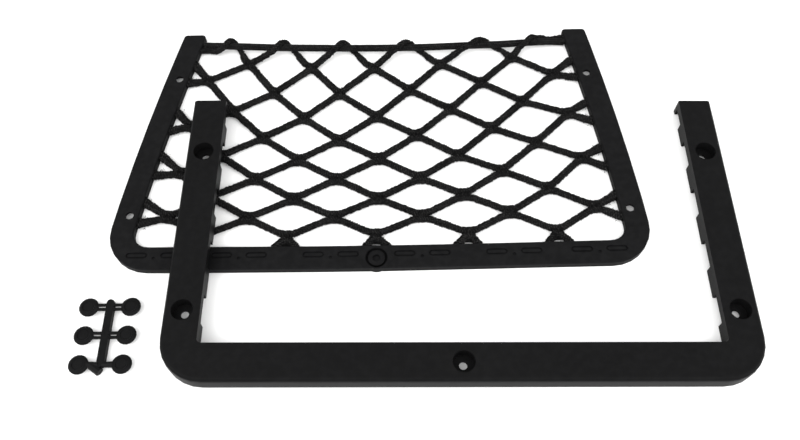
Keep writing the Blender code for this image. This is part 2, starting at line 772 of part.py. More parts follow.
def web_corner(points, start, turn, end, half, shrink):
    """The web's outline on the left of two strands that meet at a point."""
    place = points[turn]
    into = (place - points[start]).normalized()
    left_in = Vector((-into.y, into.x)) * (half[turn, start] - shrink)
    if end == start:
        place = place - into * shrink
        return [place + left_in, place - left_in]
    out = (points[end] - place).normalized()
    left_out = Vector((-out.y, out.x)) * (half[turn, end] - shrink)
    cross = into.x * out.y - into.y * out.x
    if abs(cross) < STRAIGHT:
        return [place + (left_in + left_out) / 2]
    offset = left_out - left_in
    along = (offset.x * out.y - offset.y * out.x) / cross
    corner = place + left_in + into * along
    if cross < 0 or turn[0] == "mouth":
        return [corner]
    opening = math.pi - math.acos(max(-1.0, min(1.0, into.dot(out))))
    room = CORNER_SHARE * min((points[start] - place).length, (points[end] - place).length)
    reach = min(WIDE_CUT if opening > WIDE_CORNER else SHARP_CUT, room)
    ends = corner - into * reach, corner + out * reach
    if opening < WIDE_CORNER:
        return list(ends)
    middle = (ends[0] + ends[1] + corner * 2) / 4
    return [ends[0], middle, ends[1]]


def beside_cord(k, table):
    """Places near the top cord, given along, across and above it from the middle of a bight."""
    wide = BIGHTS[k]["wide"] if table is BIGHT_TURN else 1.0
    places = []
    for step in table:
        x = BIGHTS[k]["turn"] + step["along"] * wide
        places.append(Vector((x, cord_y(x) + step["across"], CORD_LEVEL + step["rise"])))
    return places


def net_end(side):
    """Where an end of the net enters an arm beside the top cord."""
    k, table = (0, LEFT_END[:1]) if side < 0 else (len(BIGHTS) - 1, RIGHT_END[-1:])
    end = beside_cord(k, table)[0]
    return Vector((arm_x(side, end.y, ARM_WIDTH), end.y, end.z))


def bight(k, knots):
    """One bight: a strand that comes up over the top cord, turns and goes back under it."""
    route = beside_cord(k, BIGHT_TURN)
    if k == 0:
        route = [*beside_cord(k, LEFT_END), *route[1:]]
    else:
        route.insert(0, Vector((*knots[ROWS - 1, k - 1], NET_LEVEL)))
    if k == len(BIGHTS) - 1:
        route = [*route[:len(BIGHT_TURN) // 2 + 1], *beside_cord(k, RIGHT_END)]
    else:
        knot = Vector((*knots[ROWS - 1, k], NET_LEVEL))
        way = route[-1] - knot
        sag = Vector((-way.y, -abs(way.x), 0.0)) * SAG_SHARE
        route += [knot + way * SAG_PLACE + sag, knot]
    return smooth_route(route, BIGHT_SPACING)


def bight_radius(place):
    """A strand is full where it hangs free, and squeezed thin beside the cord."""
    free = cord_y(place.x) - place.y - SQUEEZE_REACH
    return min(BIGHT_RADIUS, BIGHT_THIN + max(0.0, free) * SQUEEZE_RATE)


def net(look, knots):
    """The elastic net as one fused solid: a web of strands and the bights on the top cord."""
    points, strands = strand_graph(knots)
    outlines = band_outlines(points, strands, NET_EDGE)
    low, high = NET_LEVEL - NET_HALF_THICKNESS, NET_LEVEL + NET_HALF_THICKNESS
    web = slab("net", outlines, low, high, parts, NET_EDGE)
    bights = []
    for k in range(len(BIGHTS)):
        route = bight(k, knots)
        bights.append(tube(f"bight_{k}", route, [bight_radius(place) for place in route], cutters))
    boolean(web, bights, "UNION")
    finish(web, look)
    return web


def top_cord(look):
    """The elastic cord across the open top."""
    left, right = cord_ends()[-1], cord_ends()[1]
    into, neck = Vector((CORD_SOCKET - GAP, 0, 0)), Vector((CORD_NECK, 0, 0))
    middle = smooth_route([left + neck, *(Vector(place) for place in CORD_LINE), right - neck], CORD_SPACING)
    places = [left - into, left, *middle, right, right + into]
    radii = [CORD_END_RADIUS] * 2 + [CORD_RADIUS] * len(middle) + [CORD_END_RADIUS] * 2
    cord = tube("top_cord", places, radii, parts)
    finish(cord, look)
    return cord


# ------------------------------------------------------------------ cover frame

def cover_outline(inset, corner, inner_corner):
    """The U of the cover, drawn in by an inset all round."""
    outer, inner = COVER_HALF_WIDTH - inset, COVER_INNER_HALF + inset
    front, back = COVER_FRONT + inset, COVER_TIPS - inset
    corners = [
        (-outer, back, 0), (-outer, front, corner), (outer, front, corner), (outer, back, 0),
        (inner, back, COVER_TIP_CORNER), (inner, COVER_RAIL_INNER - inset, inner_corner),
        (-inner, COVER_RAIL_INNER - inset, inner_corner), (-inner, back, COVER_TIP_CORNER),
    ]
    return rounded(corners)


def is_outer_rim(a, b):
    """Whether a top edge of the cover runs round its outside, which is well rounded."""
    middle = (a + b) / 2
    half_rail = (COVER_HALF_WIDTH - COVER_INNER_HALF) / 2
    outside = abs(middle.x) > COVER_INNER_HALF + half_rail or middle.y < COVER_RAIL_INNER - half_rail
    return outside and middle.y < COVER_TIPS - GAP


def cover_frame(look):
    """The cover: a channel with screw recesses, open below, its inner walls notched."""
    outside = cover_outline(0.0, COVER_CORNER, COVER_INNER_CORNER)
    cover = slab("cover_frame", [outside], 0.0, COVER_HEIGHT, parts)
    round_top(cover, is_outer_rim, COVER_ROUND, 3)
    plate = COVER_HEIGHT - COVER_TOP
    inside = cover_outline(COVER_WALL, COVER_CORNER - COVER_WALL, COVER_INNER_CORNER + COVER_WALL)
    hollow = slab("cover_hollow", [inside], -PROUD, plate, cutters)
    boolean(cover, [hollow], "DIFFERENCE")

    bosses, cuts = [], []
    for k, screw in enumerate(COVER_SCREWS):
        floor = COVER_HEIGHT - RECESS_DEPTH
        bosses.append(cylinder(f"boss_{k}", screw["x"], screw["y"], RECESS_RADIUS + RECESS_WALL,
                               floor - RECESS_FLOOR, plate + PROUD))
        over = COVER_HEIGHT + PROUD
        profile = ((0.0, over), (RECESS_RADIUS, over), (RECESS_RADIUS, floor),
                   (RECESS_HOLE, floor), (RECESS_HOLE, -PROUD), (0.0, -PROUD))
        recess = turned(f"recess_{k}", profile, cutters)
        recess.location = (screw["x"], screw["y"], 0.0)
        cuts.append(recess)
    boolean(cover, bosses, "UNION")
    wall = COVER_INNER_HALF + COVER_WALL / 2
    middle, through, high = NOTCH_HEIGHT / 2 - PROUD, COVER_WALL + PROUD, NOTCH_HEIGHT + 2 * PROUD
    for k, notch in enumerate(ARM_NOTCHES):
        for side in (-1, 1):
            place = (side * wall, notch["y"], middle)
            cuts.append(box(f"arm_notch_{side}_{k}", place, (through, notch["width"], high)))
    for k in range(SHORT_ROW):
        x = (k - (SHORT_ROW - 1) / 2) * FOOT_PITCH
        place = (x, COVER_RAIL_INNER - COVER_WALL / 2, middle)
        cuts.append(box(f"rail_notch_{k}", place, (RAIL_NOTCH_WIDTH, through, high)))
    boolean(cover, cuts, "DIFFERENCE")
    finish(cover, look)

    lift = FRAME_HEIGHT + GAP
    tilt = math.asin(lift / (COVER_HALF_WIDTH + COVER_INNER_HALF))
    to_edge = Matrix.Translation((-COVER_HALF_WIDTH, 0, 0))
    tilted = to_edge.inverted() @ Matrix.Rotation(tilt, 4, "Y") @ to_edge
    turned_about = Matrix.Rotation(COVER_TURN, 4, "Z")
    return put_on_seat(cover, Matrix.Translation((*COVER_AT, 0)) @ turned_about @ tilted)


# ------------------------------------------------------------------ screw caps

def cap_sprue(look):
    """Six screw caps on their runner, as moulded."""
    length = RUNNER_FAR - RUNNER_NEAR
    runner = stadium((RUNNER_FAR + RUNNER_NEAR) / 2, 0.0, length, 2 * RUNNER_HALF)
    outline = [(-y, x) for x, y in runner]
    sprue = slab("cap_sprue", [outline], RUNNER_LOW, RUNNER_HIGH, parts)
    pieces = []
    profile = ((0.0, CAP_TOP - DISH_DEPTH), (DISH_FLOOR, CAP_TOP - DISH_DEPTH), (DISH_RADIUS, CAP_TOP),
               (CAP_RADIUS - CAP_EDGE, CAP_TOP - CAP_CROWN),
               (CAP_RADIUS, CAP_TOP - CAP_EDGE), (CAP_RADIUS, CAP_UNDER), (PLUG_RADIUS, CAP_UNDER),
               (PLUG_RADIUS, 0.0), (0.0, 0.0))
    for side in (-1, 1):
        for row in (-1, 0, 1):
            x, y = side * CAP_COLUMN, row * CAP_PITCH
            cap = turned(f"cap_{side}_{row}", profile, cutters, CAP_STEPS)
            cap.location = (x, y, 0.0)
            pieces.append(cap)
            start, end = side * RUNNER_HALF / 2, side * (CAP_COLUMN - CAP_RADIUS + CAP_EDGE)
            middle, reach = (start + end) / 2, abs(end - start)
            if row < 0:
                gate = [Vector((start, y, CAP_UNDER)), Vector((end, y, CAP_UNDER))]
                pieces.append(tube(f"gate_{side}", gate, [GATE_RADIUS * GATE_TAPER, GATE_RADIUS], cutters))
                continue
            for way in (-1, 1):
                place = (middle, y + way * STRUT_OFFSET, (STRUT_LOW + STRUT_HIGH) / 2)
                size = (reach, 2 * STRUT_HALF, STRUT_HIGH - STRUT_LOW)
                pieces.append(box(f"strut_{side}_{row}_{way}", place, size))
    stub = [Vector(STUB_START), Vector(STUB_END)]
    pieces.append(tube("stub", stub, [STUB_RADIUS] * 2, cutters))
    boolean(sprue, pieces, "UNION")
    finish(sprue, look)
    return put_on_seat(sprue, Matrix.Translation((*SPRUE_AT, 0)))


# ------------------------------------------------------------------ assembly

def centre_all():
    """Bring the middle of the whole layout over the origin."""
    bpy.context.view_layer.update()
    graph = bpy.context.evaluated_depsgraph_get()
    places = np.array([
        thing.matrix_world @ point.co
        for thing in parts.objects if thing.type == "MESH"
        for point in thing.evaluated_get(graph).data.vertices
    ])
    middle = (places.min(axis=0) + places.max(axis=0)) / 2
    home = new_object(f"{NAME}_home", None, parts)
    for thing in bpy.data.objects:
        if thing.parent is None and thing is not home:
            thing.parent = home
    home.location = (-middle[0], -middle[1], 0.0)


def main():
    start_scene()
    grained = material("grained_black_plastic", (0.022, 0.022, 0.024), 0.55)
    satin = material("satin_black_plastic", (0.020, 0.020, 0.021), 0.38)
    elastic = material("black_elastic", (0.016, 0.016, 0.017), 0.80)
    knots = settle_knots()
    net_frame(grained)
    net(elastic, knots)
    top_cord(elastic)
    cover_frame(satin)
    cap_sprue(satin)
    cut_all()
    centre_all()


main()
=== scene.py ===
"""Looks of the framed cargo net: braided elastic net and top cord, moulded net frame, cover frame and
screw caps, laid out on a pale floor.  Metres, +Z up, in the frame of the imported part."""

import math

import bmesh
import bpy
import numpy as np
from mathutils import Matrix, Vector


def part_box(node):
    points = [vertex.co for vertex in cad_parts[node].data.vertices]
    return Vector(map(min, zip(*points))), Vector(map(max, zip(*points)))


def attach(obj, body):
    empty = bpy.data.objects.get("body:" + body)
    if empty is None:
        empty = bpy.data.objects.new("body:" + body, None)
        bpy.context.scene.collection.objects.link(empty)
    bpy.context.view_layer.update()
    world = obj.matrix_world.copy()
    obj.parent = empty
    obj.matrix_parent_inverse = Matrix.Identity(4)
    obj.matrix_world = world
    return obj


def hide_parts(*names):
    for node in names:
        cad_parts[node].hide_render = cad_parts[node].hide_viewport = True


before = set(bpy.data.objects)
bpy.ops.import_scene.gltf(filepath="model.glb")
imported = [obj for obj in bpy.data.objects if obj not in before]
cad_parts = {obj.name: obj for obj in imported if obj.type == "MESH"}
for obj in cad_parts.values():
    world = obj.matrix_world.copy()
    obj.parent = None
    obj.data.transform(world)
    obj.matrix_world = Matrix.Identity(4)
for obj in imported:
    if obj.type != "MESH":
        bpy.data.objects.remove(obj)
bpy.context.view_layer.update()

BODY = "root"

# ------------------------------------------------------------------ sizes shared with the solids

GAP = 0.0003
FRAME_DEPTH = 0.2173
RAIL_OUTER = 0.0007
RAIL_WIDTH = 0.0181
ARM_WIDTH = 0.0172
ARMS = {
    -1: {"root": 0.1997, "lean": math.radians(9.8), "flare": 0.0008},
    1: {"root": 0.1967, "lean": math.radians(7.65), "flare": 0.0022},
}
ARM_BOW = 0.0030
RAIL_BOW = 0.0015
RAIL_BOW_REACH = 0.160
MIDDLE = -0.0028
BOSS_Y = 0.0074
BOSS_COLLAR = 0.0089

ROWS = 9
SHORT_ROW = 5
LONG_ROW = 6
STRAND = 0.0341
STRAND_GROWTH = 0.009
NET_LEVEL = 0.0027
FOOT_HALF = 0.0029
LEG_HALF = 0.0038
FOOT_PITCH = 0.0656
FOOT_SPREAD = 0.0082
FOOT_TUG = 0.00163
LOOPS = (
    {"row": 1, "left": 0.0483, "right": 0.0483, "tug": 0.00258},
    {"row": 3, "left": 0.0899, "right": 0.0910, "tug": 0.00243},
    {"row": 5, "left": 0.1308, "right": 0.1339, "tug": 0.00207},
    {"row": 7, "left": 0.1775, "right": 0.1772, "tug": 0.00094},
)
LOOP_SPREAD = 0.0090
POCKET_DEPTH = 0.0028
START_PITCH = 0.063
START_FIRST = 0.027
START_RISE = 0.021
SETTLE_ROUNDS = 6000
SETTLE_KEEP = 0.94
SETTLE_PULL = 0.12
STRAYS = (
    {"row": 0, "knot": 0, "right": 0.0005, "up": -0.0013},
    {"row": 0, "knot": 1, "right": -0.0012, "up": -0.0011},
    {"row": 0, "knot": 2, "right": -0.0018, "up": 0.0},
    {"row": 0, "knot": 3, "right": 0.0010, "up": -0.0003},
    {"row": 0, "knot": 4, "right": 0.0011, "up": -0.0010},
    {"row": 1, "knot": 0, "right": 0.0048, "up": -0.0037},
    {"row": 1, "knot": 1, "right": 0.0013, "up": -0.0020},
    {"row": 1, "knot": 4, "right": 0.0010, "up": -0.0003},
    {"row": 1, "knot": 5, "right": 0.0013, "up": -0.0003},
    {"row": 2, "knot": 0, "right": 0.0026, "up": -0.0030},
    {"row": 2, "knot": 1, "right": 0.0011, "up": -0.0012},
    {"row": 2, "knot": 4, "right": 0.0010, "up": -0.0004},
    {"row": 3, "knot": 0, "right": 0.0063, "up": -0.0049},
    {"row": 3, "knot": 1, "right": 0.0018, "up": -0.0026},
    {"row": 3, "knot": 5, "right": 0.0, "up": 0.0026},
    {"row": 4, "knot": 0, "right": 0.0018, "up": -0.0044},
    {"row": 4, "knot": 1, "right": 0.0005, "up": -0.0013},
    {"row": 4, "knot": 3, "right": 0.0, "up": -0.0012},
    {"row": 4, "knot": 4, "right": 0.0, "up": 0.0013},
    {"row": 5, "knot": 0, "right": 0.0006, "up": -0.0015},
    {"row": 5, "knot": 1, "right": -0.0003, "up": -0.0033},
    {"row": 5, "knot": 2, "right": -0.0003, "up": -0.0008},
    {"row": 5, "knot": 5, "right": 0.0011, "up": 0.0028},
    {"row": 6, "knot": 0, "right": 0.0006, "up": -0.0024},
    {"row": 6, "knot": 1, "right": -0.0010, "up": -0.0025},
    {"row": 7, "knot": 1, "right": -0.0006, "up": -0.0024},
    {"row": 7, "knot": 2, "right": -0.0029, "up": -0.0012},
    {"row": 7, "knot": 3, "right": 0.0004, "up": 0.0013},
    {"row": 7, "knot": 5, "right": 0.0007, "up": 0.0012},
    {"row": 8, "knot": 2, "right": -0.0013, "up": -0.0010},
    {"row": 8, "knot": 3, "right": 0.0011, "up": 0.0023},
)
BIGHTS = (
    {"x": -0.1234, "hold": 0.2044, "left": None, "right": 0.0229, "turn": -0.1208, "wide": 0.76},
    {"x": -0.0800, "hold": 0.2028, "left": 0.0305, "right": 0.0305, "turn": -0.0768, "wide": 0.97},
    {"x": -0.0301, "hold": 0.2018, "left": 0.0305, "right": 0.0305, "turn": -0.0277, "wide": 1.03},
    {"x": 0.0220, "hold": 0.2017, "left": 0.0305, "right": 0.0305, "turn": 0.0249, "wide": 1.31},
    {"x": 0.0825, "hold": 0.2028, "left": 0.0400, "right": 0.0271, "turn": 0.0860, "wide": 1.68},
    {"x": 0.1281, "hold": 0.2046, "left": 0.0221, "right": None, "turn": 0.1279, "wide": 1.14},
)
# One bight over and under the cord, from left to right, relative to the cord.
BIGHT_TURN = (
    {"along": -0.0120, "across": -0.0054, "rise": 0.0010},
    {"along": -0.0092, "across": -0.0040, "rise": 0.0029},
    {"along": -0.0064, "across": -0.0009, "rise": 0.0049},
    {"along": -0.0034, "across": 0.0030, "rise": 0.0039},
    {"along": 0.0, "across": 0.0049, "rise": 0.0002},
    {"along": 0.0030, "across": 0.0034, "rise": -0.0036},
    {"along": 0.0058, "across": 0.0, "rise": -0.0048},
    {"along": 0.0084, "across": -0.0036, "rise": -0.0042},
)
# The net's two ends run on from the outer bights beside the cord, into the arms.
LEFT_END = (
    {"along": -0.0320, "across": -0.0055, "rise": -0.0037},
    {"along": -0.0272, "across": -0.0055, "rise": -0.0037},
    {"along": -0.0210, "across": -0.0051, "rise": -0.0030},
    {"along": -0.0134, "across": -0.0059, "rise": -0.0014},
)
RIGHT_END = (
    {"along": 0.0060, "across": 0.0048, "rise": -0.0014},
    {"along": 0.0100, "across": 0.0044, "rise": -0.0036},
    {"along": 0.0160, "across": 0.0048, "rise": -0.0040},
    {"along": 0.0222, "across": 0.0054, "rise": -0.0037},
    {"along": 0.0270, "across": 0.0055, "rise": -0.0037},
)
# Coming down from a bight, a strand sags to the left of its straight way to the knot: where, as a share
# of that way up from the knot, and how far, as a share of its length.
SAG_PLACE = 0.42
SAG_SHARE = 0.08
CORD_RADIUS = 0.0029
CORD_END_RADIUS = 0.0021
CORD_LEVEL = 0.0067
CORD_END_LEVEL = 0.0030
CORD_LINE = (
    (-0.1390, 0.2060, 0.0043), (-0.1310, 0.2047, 0.0056), (-0.1234, 0.2034, CORD_LEVEL),
    (-0.1078, 0.2025, CORD_LEVEL), (-0.0820, 0.2010, CORD_LEVEL), (-0.0580, 0.2001, CORD_LEVEL),
    (-0.0300, 0.1993, CORD_LEVEL), (0.0, 0.1988, CORD_LEVEL), (0.0250, 0.1988, CORD_LEVEL),
    (0.0450, 0.1991, CORD_LEVEL), (0.0650, 0.1998, CORD_LEVEL), (0.0950, 0.2006, CORD_LEVEL),
    (0.1150, 0.2017, CORD_LEVEL), (0.1280, 0.2025, CORD_LEVEL), (0.1400, 0.2044, 0.0049),
)
CORD_MOUTHS = {-1: 0.2075, 1: 0.2053}     # how far up the arms it enters them
CORD_NECK = 0.0018
CORD_SOCKET = 0.0070
CORD_SPACING = 0.0040
BIGHT_SPACING = 0.0030

# ------------------------------------------------------------------ sizes of the finish

# Elastic cord of the net: a flattish braid.  Where two cords are knitted together they swell.
STRAND_HALF = 0.00280
# How much thicker the cords are where they are stretched less: heights up the net, and shares.
SLACK = ((0.03, 0.20), (-0.035, 0.055))
STRAND_THICK = 0.00180
KNOT_HALF = 0.0032
KNOT_THICK = 0.0021
KNOT_REACH = 0.0085               # how far from a knot the swelling reaches
KNOT_APART = 0.0003               # how far a cord's corner is drawn out of the knot's middle
BEND_CUT = 0.0019                 # how far its bend keeps a cord from its corner in a knot
BEND_SHARE = 0.40                 # and the most of a strand that the bend takes up
LEG_TAPER = 0.0150                # the legs are thicker for this far from their pockets
SQUEEZED = 0.0021                 # half width and thickness of a bight against the top cord
SNUG = 0.0005                     # how much closer than its plain solid a bight lies to the cord
FREE_FROM = 0.0040                # a strand grows full again this far below the cord
FREE_OVER = 0.0038
RING_STEP = 0.00047
SIDES = 16
YARNS = 5                         # yarns that wind each way round a cord
YARN_LAY = 0.0019                 # how far along the cord one yarn follows the next
YARN_RELIEF = 0.00062
YARN_UNEVEN = 0.00019
YARN_FLANK, YARN_TOP = 0.45, 0.55           # a yarn's height at its flanks, and what its top adds
YARN_LEVEL = 0.55                 # the height that lies on the cord's plain surface
CORD_RELIEF = 0.00016             # the top cord is braided finer
CORD_UNEVEN = CORD_RELIEF / 4
CORD_THINNED = 0.4                # the share of its relief that lies inside its plain surface
NET_SOFTENING = 3                 # rings over which the cords' kinks are ironed out
CORD_SOFTENING = 5
YARN_FULL, YARN_CLOSED = 1.02, 0.1          # how a fine yarn closes in at its ends
TIES = 5                          # yarns that bind the two cords of a knot, on each face
TIE_RADIUS = 0.00042
TIE_SIDES = 5
TIE_STEPS = 7
TIE_PITCH = 0.0017
TIE_SPAN = 0.0027
TIE_SLANT = 0.0010
TIE_UNEVEN = TIE_PITCH / 10
TIE_RISE, TIE_DIVE = 0.2, 1.4     # off the knot in its middle, into it at its ends, in its radii
TIE_LIGHT = 0.5                   # how light a fine yarn is
# Loose ends of yarn at each leg of a loop at the arms: between the two legs, and beside them.
FRAYED_IN = 26
FRAYED_OUT = 2
FRAYED_IN_LENGTH = 0.0050
FRAYED_OUT_LENGTH = 0.0024
STRAY_RADIUS = 0.00016
STRAY_LOW = 0.0003
STRAY_SIDES = 4
STRAY_STEPS = 7
STRAY_LIGHT = 0.9
# Where a loose end starts, out of the arm and beside the leg's middle, and which way it goes.
FRAYING = {
    "out": (0.0002, 0.0070), "beside": (0.5, 0.9), "spread": (0.3, 1.0), "lean": (-0.3, 0.9),
    "rise": (-0.2, 0.25), "curl": (-0.6, 0.6), "length": (0.4, 1.0),
}
WEB_YARNS = 8                     # yarns across the inside of a loop at the rail
WEB_FROM = (0.0, 0.0, 0.22, 0.22, 0.22)     # from which share of each loop's height
WEB_TO = 0.80                     # and up to which
WEB_RADIUS = 0.00055
WEB_STEPS = 9
WEB_FIRST, WEB_JITTER = 0.7, 0.3            # place of its first yarn and unevenness, in yarns
WEB_UNEVEN = 0.0006
WEB_ARCH = 0.0004
WEB_LIGHT = 0.4
MAIN_ROWS = 6                     # the rows of the net's main piece

EDGE_ANGLE = math.radians(28)     # moulded edges sharper than this are softened
FRAME_SOFTENING = 0.00035
COVER_SOFTENING = 0.00030
CAP_SOFTENING = 0.00022
SAME_POINT = 0.000002
FLAT_ANGLE = math.radians(0.4)    # facets flatter than this are one face
SMOOTH_ANGLE = math.radians(50)
FLAT_WEIGHT = 100

# First number of each group of random draws.
SEEDS = {"feet": 100, "rows": 200, "bights": 300, "ties": 400, "strays": 500, "top_cord": 600, "webs": 700}

PLASTICS = {
    "grained_black": {"dark": (0.0034, 0.0034, 0.0036), "light": (0.0108, 0.0108, 0.0112),
                      "rough": 0.55, "grain_height": 0.00006, "wave_height": 0.00020},
    "satin_black": {"dark": (0.0036, 0.0036, 0.0037), "light": (0.0082, 0.0082, 0.0085),
                    "rough": 0.42, "grain_height": 0.00002, "wave_height": 0.00012},
}
# Colours of the net's braid: the dark one is also painted shade in the grooves between the yarns, and the
# light one is also a painted highlight on the yarns' crowns. The lint's own lighter and darker tone lies
# between the same two.
ELASTIC_DARK_AND_GROOVE_SHADE, ELASTIC_LIGHT_AND_CROWN_HIGHLIGHT = (0.0014, 0.0014, 0.0015), (0.0560, 0.0545, 0.0540)
PAPER_DARK, PAPER_LIGHT = (0.92, 0.92, 0.915), (0.95, 0.95, 0.945)

FLOOR_SIZE = 8.0
FLOOR_DROP = 0.0001               # how far the floor lies below the pieces
DAYLIGHT = 1.0
LAMPS = (
    {"name": "key", "place": (-0.9, -0.7, 1.4), "power": 28.0},
    {"name": "fill", "place": (1.1, -0.8, 1.3), "power": 24.0},
)
LAMP_SIZE = (1.8, 1.5)

# Camera: where the photographer stood, and how it was turned.
CAMERA_AT = (-0.007394, -0.312477, 0.519623)
CAMERA_DOWN = math.radians(60.945)
CAMERA_TURN = math.radians(0.518)
CAMERA_ROLL = math.radians(-1.369)
LENS = 36.443
SENSOR = 36.0
CLIP_START = 0.01


# ------------------------------------------------------------------ shader maths

class Value:
    """A number or colour that a material works out over a surface.  Sums, products and the like of such
    numbers add the nodes that work them out."""

    def __init__(self, finish, socket):
        self.finish = finish
        self.socket = socket

    def _maths(self, operation, *terms):
        return self.finish.make("ShaderNodeMath", {"operation": operation}, dict(enumerate(terms)))

    def __add__(self, other):
        return self._maths("ADD", self, other)

    def __radd__(self, other):
        return self._maths("ADD", other, self)

    def __sub__(self, other):
        return self._maths("SUBTRACT", self, other)

    def __rsub__(self, other):
        return self._maths("SUBTRACT", other, self)

    def __mul__(self, other):
        return self._maths("MULTIPLY", self, other)

    def __rmul__(self, other):
        return self._maths("MULTIPLY", other, self)

    def sine(self):
        return self._maths("SINE", self)

    def between(self, low, high):
        """0 below low, 1 above high, and a soft step in between."""
        sockets = {"Value": self, "From Min": low, "From Max": high}
        return self.finish.make("ShaderNodeMapRange", {"interpolation_type": "SMOOTHSTEP"}, sockets)


class Finish:
    """A material under construction."""

    def __init__(self, name):
        self.material = bpy.data.materials.new(name)
        self.material.use_nodes = True
        self.nodes = self.material.node_tree.nodes
        self.links = self.material.node_tree.links
        self.shader = self.nodes["Principled BSDF"]

    def make(self, kind, settings, sockets, output=0):
        """Any node: its settings first, then what goes into its sockets by name or number."""
        node = self.nodes.new(kind)
        for setting, choice in settings.items():
            setattr(node, setting, choice)
        for socket, wanted in sockets.items():
            self.feed(node.inputs[socket], wanted)
        return Value(self, node.outputs[output])

    def feed(self, socket, wanted):
        """Link a value to a socket, or set the socket itself."""
        if isinstance(wanted, Value):
            self.links.new(wanted.socket, socket)
        else:
            socket.default_value = wanted

    def place(self):
        """The point of the surface, in metres."""
        return self.make("ShaderNodeTexCoord", {}, {}, "Object")

    def drawn(self, name):
        """A number that the mesh carries from point to point."""
        return self.make("ShaderNodeAttribute", {"attribute_name": name}, {}, "Fac")

    def cloud(self, scale, detail=3.0, roughness=0.55):
        """Soft noise from 0 to 1; scale is in patches to the metre."""
        sockets = {"Vector": self.place(), "Scale": scale, "Detail": detail, "Roughness": roughness}
        return self.make("ShaderNodeTexNoise", {}, sockets, "Fac")

    def grain(self, scale):
        """Rounded pits, as spark erosion leaves them in a mould."""
        sockets = {"Vector": self.place(), "Scale": scale, "Smoothness": 1.0}
        return self.make("ShaderNodeTexVoronoi", {"feature": "SMOOTH_F1"}, sockets, "Distance")

    def blend(self, share, first, second):
        """A colour between two."""
        sockets = {0: share, 6: (*first, 1.0), 7: (*second, 1.0)}
        return self.make("ShaderNodeMix", {"data_type": "RGBA"}, sockets, 2)

    def raise_by(self, height, distance, under=None):
        """A fine relief; distance is its full height in metres."""
        sockets = {"Height": height, "Distance": distance}
        if under is not None:
            sockets["Normal"] = under
        return self.make("ShaderNodeBump", {}, sockets)

    def dress(self, constants, varying):
        """Set the shader's own constants and link what varies."""
        for name, number in constants.items():
            self.shader.inputs[name].default_value = number
        for name, wanted in varying.items():
            self.feed(self.shader.inputs[name], wanted)
        return self.material


# ------------------------------------------------------------------ finishes

def moulded_plastic(name, dark, light, rough, grain_height, wave_height):
    """Black moulded plastic: fine mould grain, faint waves, and edges that handling has polished."""
    finish = Finish(name)
    wear = finish.drawn("edge")
    patches = finish.cloud(38.0)
    mottling = finish.cloud(210.0, 2.0)
    fine = finish.cloud(1400.0, 2.0)
    specks = finish.cloud(5200.0, 1.0).between(0.62, 0.74)
    share = (patches * 0.35 + mottling.between(0.35, 0.70) * 0.25 + fine * 0.20 + wear * 0.35
             + specks * 0.25)
    colour = finish.blend(share, dark, light)
    roughness = rough + (patches - 0.5) * 0.14 + (fine - 0.5) * 0.12 - wear * 0.08
    waves = finish.raise_by(finish.cloud(55.0, 2.0), wave_height)
    grained = finish.raise_by(finish.grain(2100.0) + fine * 0.6, grain_height, waves)
    constants = {"Metallic": 0.0, "Specular IOR Level": 0.04, "IOR": 1.5}
    return finish.dress(constants, {"Base Color": colour, "Roughness": roughness, "Normal": grained})


def braided_elastic(name):
    """Black textured polyester yarn braided over rubber: the yarns are in the mesh, and their fibres
    and a little lint are here."""
    finish = Finish(name)
    crown = finish.drawn("crown")
    lint = finish.cloud(900.0, 4.0, 0.7)
    patches = finish.cloud(60.0)
    fibres = (finish.drawn("along") * 5200.0 + finish.drawn("around") * 26.0 + lint * 5.0).sine()
    # Painted highlight where the yarns' crowns stand up and painted shade in the grooves between them,
    # plus the lint's and patches' own tone.
    share = crown * 0.75 - 0.25 + (lint - 0.5) * 1.7 + (patches - 0.5) * 0.2
    colour = finish.blend(share.between(0.0, 1.0), ELASTIC_DARK_AND_GROOVE_SHADE, ELASTIC_LIGHT_AND_CROWN_HIGHLIGHT)
    roughness = 0.72 + (1.0 - crown) * 0.2 + (lint - 0.5) * 0.1
    fuzzy = finish.raise_by(fibres * 0.25 + lint * 0.5, 0.00012)
    constants = {"Metallic": 0.0, "Specular IOR Level": 0.05, "Sheen Weight": 0.01,
                 "Sheen Roughness": 0.5}
    return finish.dress(constants, {"Base Color": colour, "Roughness": roughness, "Normal": fuzzy})


def floor_finish():
    """Pale seamless paper."""
    finish = Finish("pale_paper")
    tooth = finish.cloud(260.0, 3.0)
    colour = finish.blend(finish.cloud(3.0), PAPER_DARK, PAPER_LIGHT)
    varying = {"Base Color": colour, "Roughness": 0.82 + tooth * 0.1,
               "Normal": finish.raise_by(tooth, 0.00004)}
    return finish.dress({"Specular IOR Level": 0.2}, varying)


# ------------------------------------------------------------------ layout of the net

def arm_x(side, y, inset=0.0):
    """X of a line up an arm, a distance in from its outer edge."""
    arm = ARMS[side]
    bow = ARM_BOW * 4 * (y / FRAME_DEPTH) * (1 - y / FRAME_DEPTH)
    flare = arm["flare"] * (y / FRAME_DEPTH) * (1 - inset / ARM_WIDTH)
    return side * (arm["root"] - inset - y * math.tan(arm["lean"]) + bow + flare)


def rail_y(x, across=0.0):
    """Y of a line along the rail, a distance across it from its outer edge."""
    return RAIL_OUTER + across - RAIL_BOW * max(0.0, 1 - (x / RAIL_BOW_REACH) ** 2)


def row_size(row):
    return LONG_ROW if row % 2 else SHORT_ROW


def above(row, k):
    """The two knots of the next row that a knot is joined to."""
    return (k, k + 1) if row % 2 == 0 else (k - 1, k)


def cord_ends():
    """Where the top cord enters the two arms."""
    return {
        side: Vector((arm_x(side, y, ARM_WIDTH), y, CORD_END_LEVEL)) for side, y in CORD_MOUTHS.items()
    }


def cord_y(x):
    """The top cord's own line across the frame's mouth, slack in the middle."""
    ends = cord_ends()
    line = [tuple(ends[-1]), *CORD_LINE, tuple(ends[1])]
    return np.interp(x, [place[0] for place in line], [place[1] for place in line])


